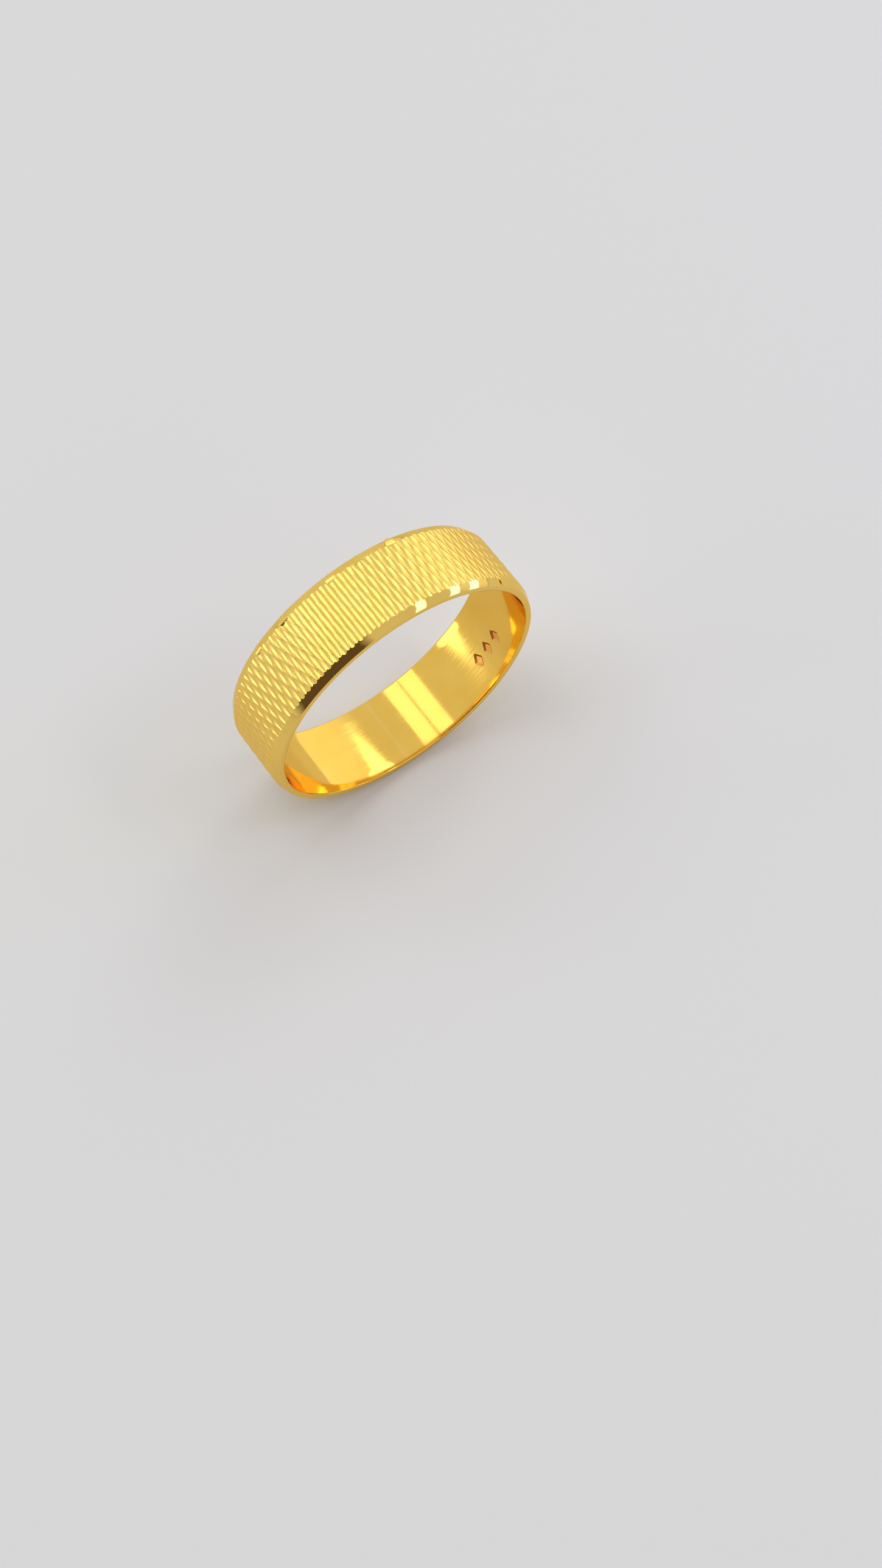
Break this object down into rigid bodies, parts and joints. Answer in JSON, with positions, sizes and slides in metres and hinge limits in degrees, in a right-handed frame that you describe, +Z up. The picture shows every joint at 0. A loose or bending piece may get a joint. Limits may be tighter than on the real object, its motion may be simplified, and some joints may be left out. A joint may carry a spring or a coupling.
{
  "type": "wedding band",
  "caption": "Plain wedding band with a fly-cut textured face, polished bevelled edges, a smooth bore and a soldered closing joint.",
  "frame": {"origin": "centre of the bore", "axes": "Y along the axis of the ring, with the front edge at -Y; +Z up, with the solder seam at the bottom; X across"},
  "size_m": [0.0206, 0.0054, 0.0206],
  "materials": {
    "gold": "fly-cut satin scoops on the face, mirror polish on the bevels and the bore",
    "gold_solder": "cut and polished with the band, slightly paler"
  },
  "bodies": {
    "root": {"band": "gold", "solder_seam": "gold_solder"}
  },
  "joints": []
}
